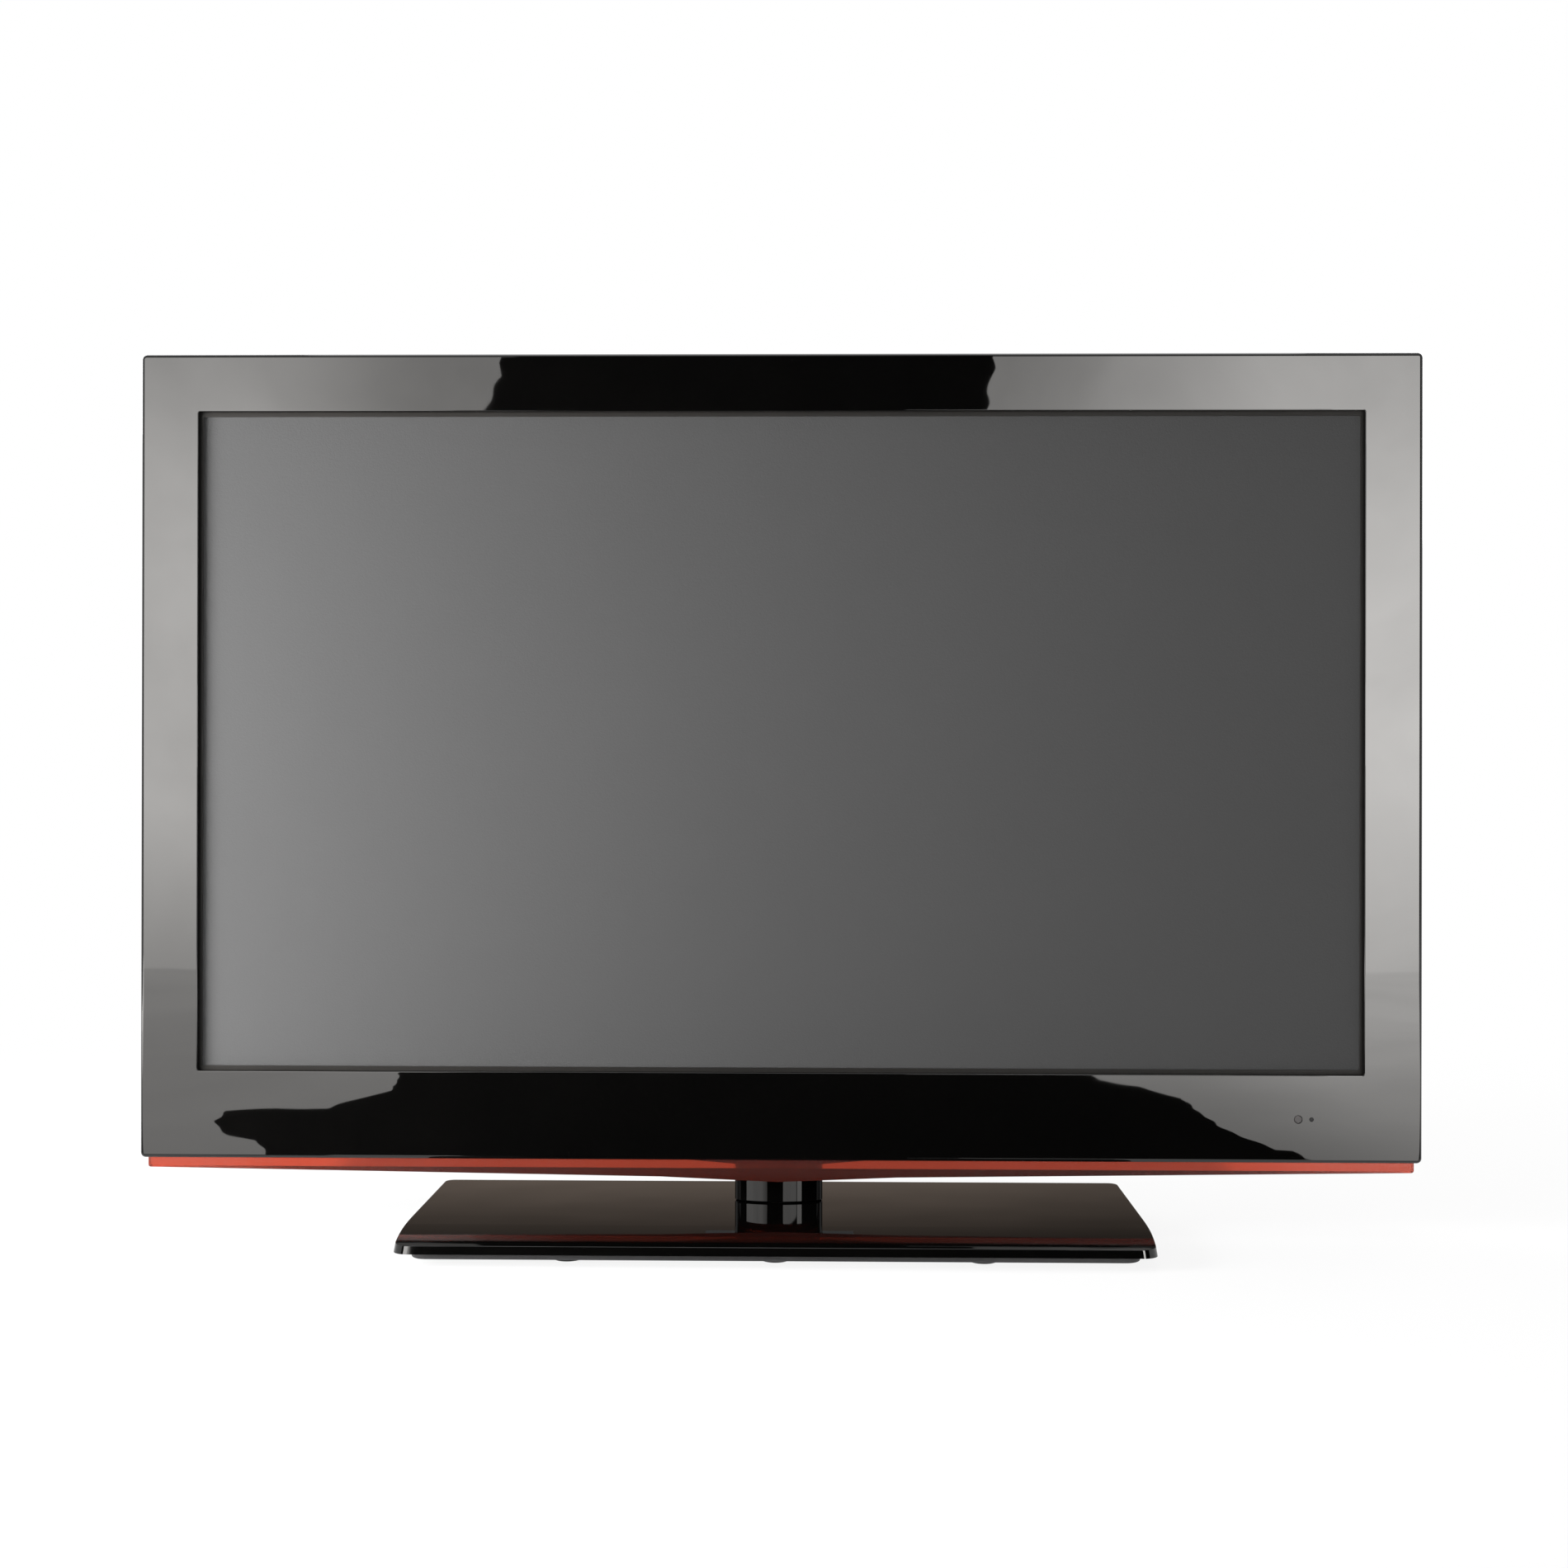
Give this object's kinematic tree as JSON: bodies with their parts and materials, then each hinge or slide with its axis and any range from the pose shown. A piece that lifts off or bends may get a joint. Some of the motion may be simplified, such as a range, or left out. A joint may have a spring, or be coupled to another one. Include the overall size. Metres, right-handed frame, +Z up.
{
  "type": "television",
  "caption": "Flat LCD television with a gloss black bezel, a red blade below it, side keys and a swivelling neck on a wide low stand.",
  "frame": {"origin": "on the floor under the middle of the stand base", "axes": "+Z up, +X to the viewer's right along the width, +Y from the screen to the back"},
  "size_m": [1.028, 0.249, 0.7076],
  "materials": {
    "gloss_black": "high-gloss black moulding",
    "neck_black": "black moulding with a softer gloss",
    "matte_black": "fine-textured black moulding",
    "red_blade": "clear red tinted acrylic",
    "screen_surface": "matte anti-glare polariser on glass",
    "eye_window": "dark infrared-clear plastic",
    "light_pipe": "smoked clear plastic",
    "black_steel": "black coated steel",
    "zinc_steel": "zinc-plated sheet steel",
    "screw_steel": "zinc-plated screws",
    "black_screw": "black oxide screws",
    "rubber": "moulded rubber",
    "slip_plastic": "white low-friction plastic",
    "frame_plastic": "white plastic",
    "film": "white optical film",
    "lamp_tube": "phosphor-coated glass tube",
    "board_green": "green solder mask",
    "chip_black": "moulded chip package",
    "heatsink": "plain aluminium",
    "winding": "yellow winding tape",
    "capacitor_sleeve": "dark blue sleeve",
    "jack_plastic": "jack blocks and barrels",
    "wire_sleeve": "black sleeved wires",
    "ribbon": "flat ribbon cable",
    "connector_white": "cream connector housings",
    "speaker_cone": "coated paper cone and magnet",
    "key_plastic": "satin black keys"
  },
  "bodies": {
    "stand_base": {"base_feet": "rubber", "base_tray": "matte_black", "base_weight_plate": "zinc_steel", "base_top_cover": "gloss_black", "base_screws": "screw_steel", "swivel_washers": "slip_plastic", "swivel_clamp_plate": "black_steel", "swivel_rivets": "zinc_steel"},
    "set": {"accent_blade": "red_blade", "backlight_lamps": "lamp_tube", "board_chips": "chip_black", "case_screws": "black_screw", "diffuser_plate": "film", "diffuser_supports": "frame_plastic", "front_bezel": "gloss_black", "hdmi_sockets": "zinc_steel", "heatsinks": "heatsink", "inner_screws": "screw_steel", "jack_plates": "zinc_steel", "key_board": "board_green", "lamp_drive_board": "board_green", "lamp_holders": "frame_plastic", "lamp_light_pipe": "light_pipe", "main_board": "board_green", "mains_inlet": "matte_black", "neck_cover_front": "neck_black", "neck_cover_rear": "neck_black", "neck_post": "black_steel", "optical_films": "film", "panel_front_frame": "black_steel", "panel_middle_frame": "frame_plastic", "panel_rear_tray": "zinc_steel", "phono_jacks": "jack_plastic", "picture_ribbon": "ribbon", "power_board": "board_green", "power_capacitors": "capacitor_sleeve", "rear_cover": "matte_black", "reflector_sheet": "film", "remote_eye_board": "board_green", "remote_window": "eye_window", "screen_drive_boards": "board_green", "screen_glass": "screen_surface", "sleeved_wires": "wire_sleeve", "speaker_boxes": "matte_black", "speaker_drivers": "speaker_cone", "stand_bracket": "black_steel", "stand_screws": "screw_steel", "swivel_disc": "black_steel", "timing_board": "board_green", "transformers": "winding", "tuner": "zinc_steel", "wall_mount_rails": "black_steel", "wire_connectors": "connector_white"},
    "key_channel_down": {"button_channel_down": "key_plastic"},
    "key_channel_up": {"button_channel_up": "key_plastic"},
    "key_menu": {"button_menu": "key_plastic"},
    "key_power": {"button_power": "key_plastic"},
    "key_source": {"button_source": "key_plastic"},
    "key_volume_down": {"button_volume_down": "key_plastic"},
    "key_volume_up": {"button_volume_up": "key_plastic"}
  },
  "joints": [
    {"name": "swivel", "type": "hinge", "parent": "stand_base", "child": "set", "pos_m": [0, 0.0555, 0.0206], "axis": [0, 0, 1], "range_deg": [-20, 20]},
    {"name": "press_channel_down", "type": "slide", "parent": "set", "child": "key_channel_down", "axis": [-1, 0, 0], "range_m": [0, 0.0006], "stiffness_N_per_m": 800},
    {"name": "press_channel_up", "type": "slide", "parent": "set", "child": "key_channel_up", "axis": [-1, 0, 0], "range_m": [0, 0.0006], "stiffness_N_per_m": 800},
    {"name": "press_menu", "type": "slide", "parent": "set", "child": "key_menu", "axis": [-1, 0, 0], "range_m": [0, 0.0006], "stiffness_N_per_m": 800},
    {"name": "press_power", "type": "slide", "parent": "set", "child": "key_power", "axis": [-1, 0, 0], "range_m": [0, 0.0006], "stiffness_N_per_m": 800},
    {"name": "press_source", "type": "slide", "parent": "set", "child": "key_source", "axis": [-1, 0, 0], "range_m": [0, 0.0006], "stiffness_N_per_m": 800},
    {"name": "press_volume_down", "type": "slide", "parent": "set", "child": "key_volume_down", "axis": [-1, 0, 0], "range_m": [0, 0.0006], "stiffness_N_per_m": 800},
    {"name": "press_volume_up", "type": "slide", "parent": "set", "child": "key_volume_up", "axis": [-1, 0, 0], "range_m": [0, 0.0006], "stiffness_N_per_m": 800}
  ]
}
